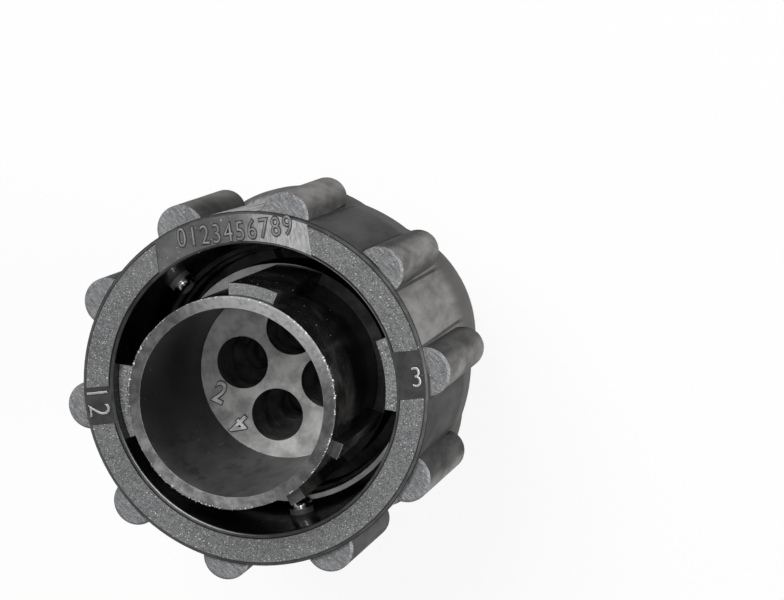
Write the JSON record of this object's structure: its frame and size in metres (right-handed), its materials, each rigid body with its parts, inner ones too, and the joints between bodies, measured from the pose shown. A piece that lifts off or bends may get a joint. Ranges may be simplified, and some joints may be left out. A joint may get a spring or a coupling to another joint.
{
  "type": "circular plastic connector",
  "caption": "Free plug of a round power connector: a keyed black plastic barrel with an empty contact insert, a clamp thread at its cable end and a lobed coupling ring that turns around it.",
  "frame": {"origin": "on the connector's axis at the rim of its cable end, the lowest point", "axes": "+Z along the axis towards the mating end, +Y through the middle of the wide key, +X to the right of it seen from the mating end"},
  "size_m": [0.0284, 0.0298, 0.0335],
  "materials": {
    "plug_plastic": "moulded black with a soft shine",
    "ring_plastic": "moulded charcoal black, satin on the grip and fine-textured on the front face"
  },
  "bodies": {
    "plug": {"plug_body": "plug_plastic"},
    "ring": {"coupling_ring": "ring_plastic"}
  },
  "joints": [
    {"name": "ring_turn", "type": "hinge", "parent": "plug", "child": "ring", "pos_m": [0, 0, 0.0133], "axis": [0, 0, 1], "continuous": true}
  ]
}
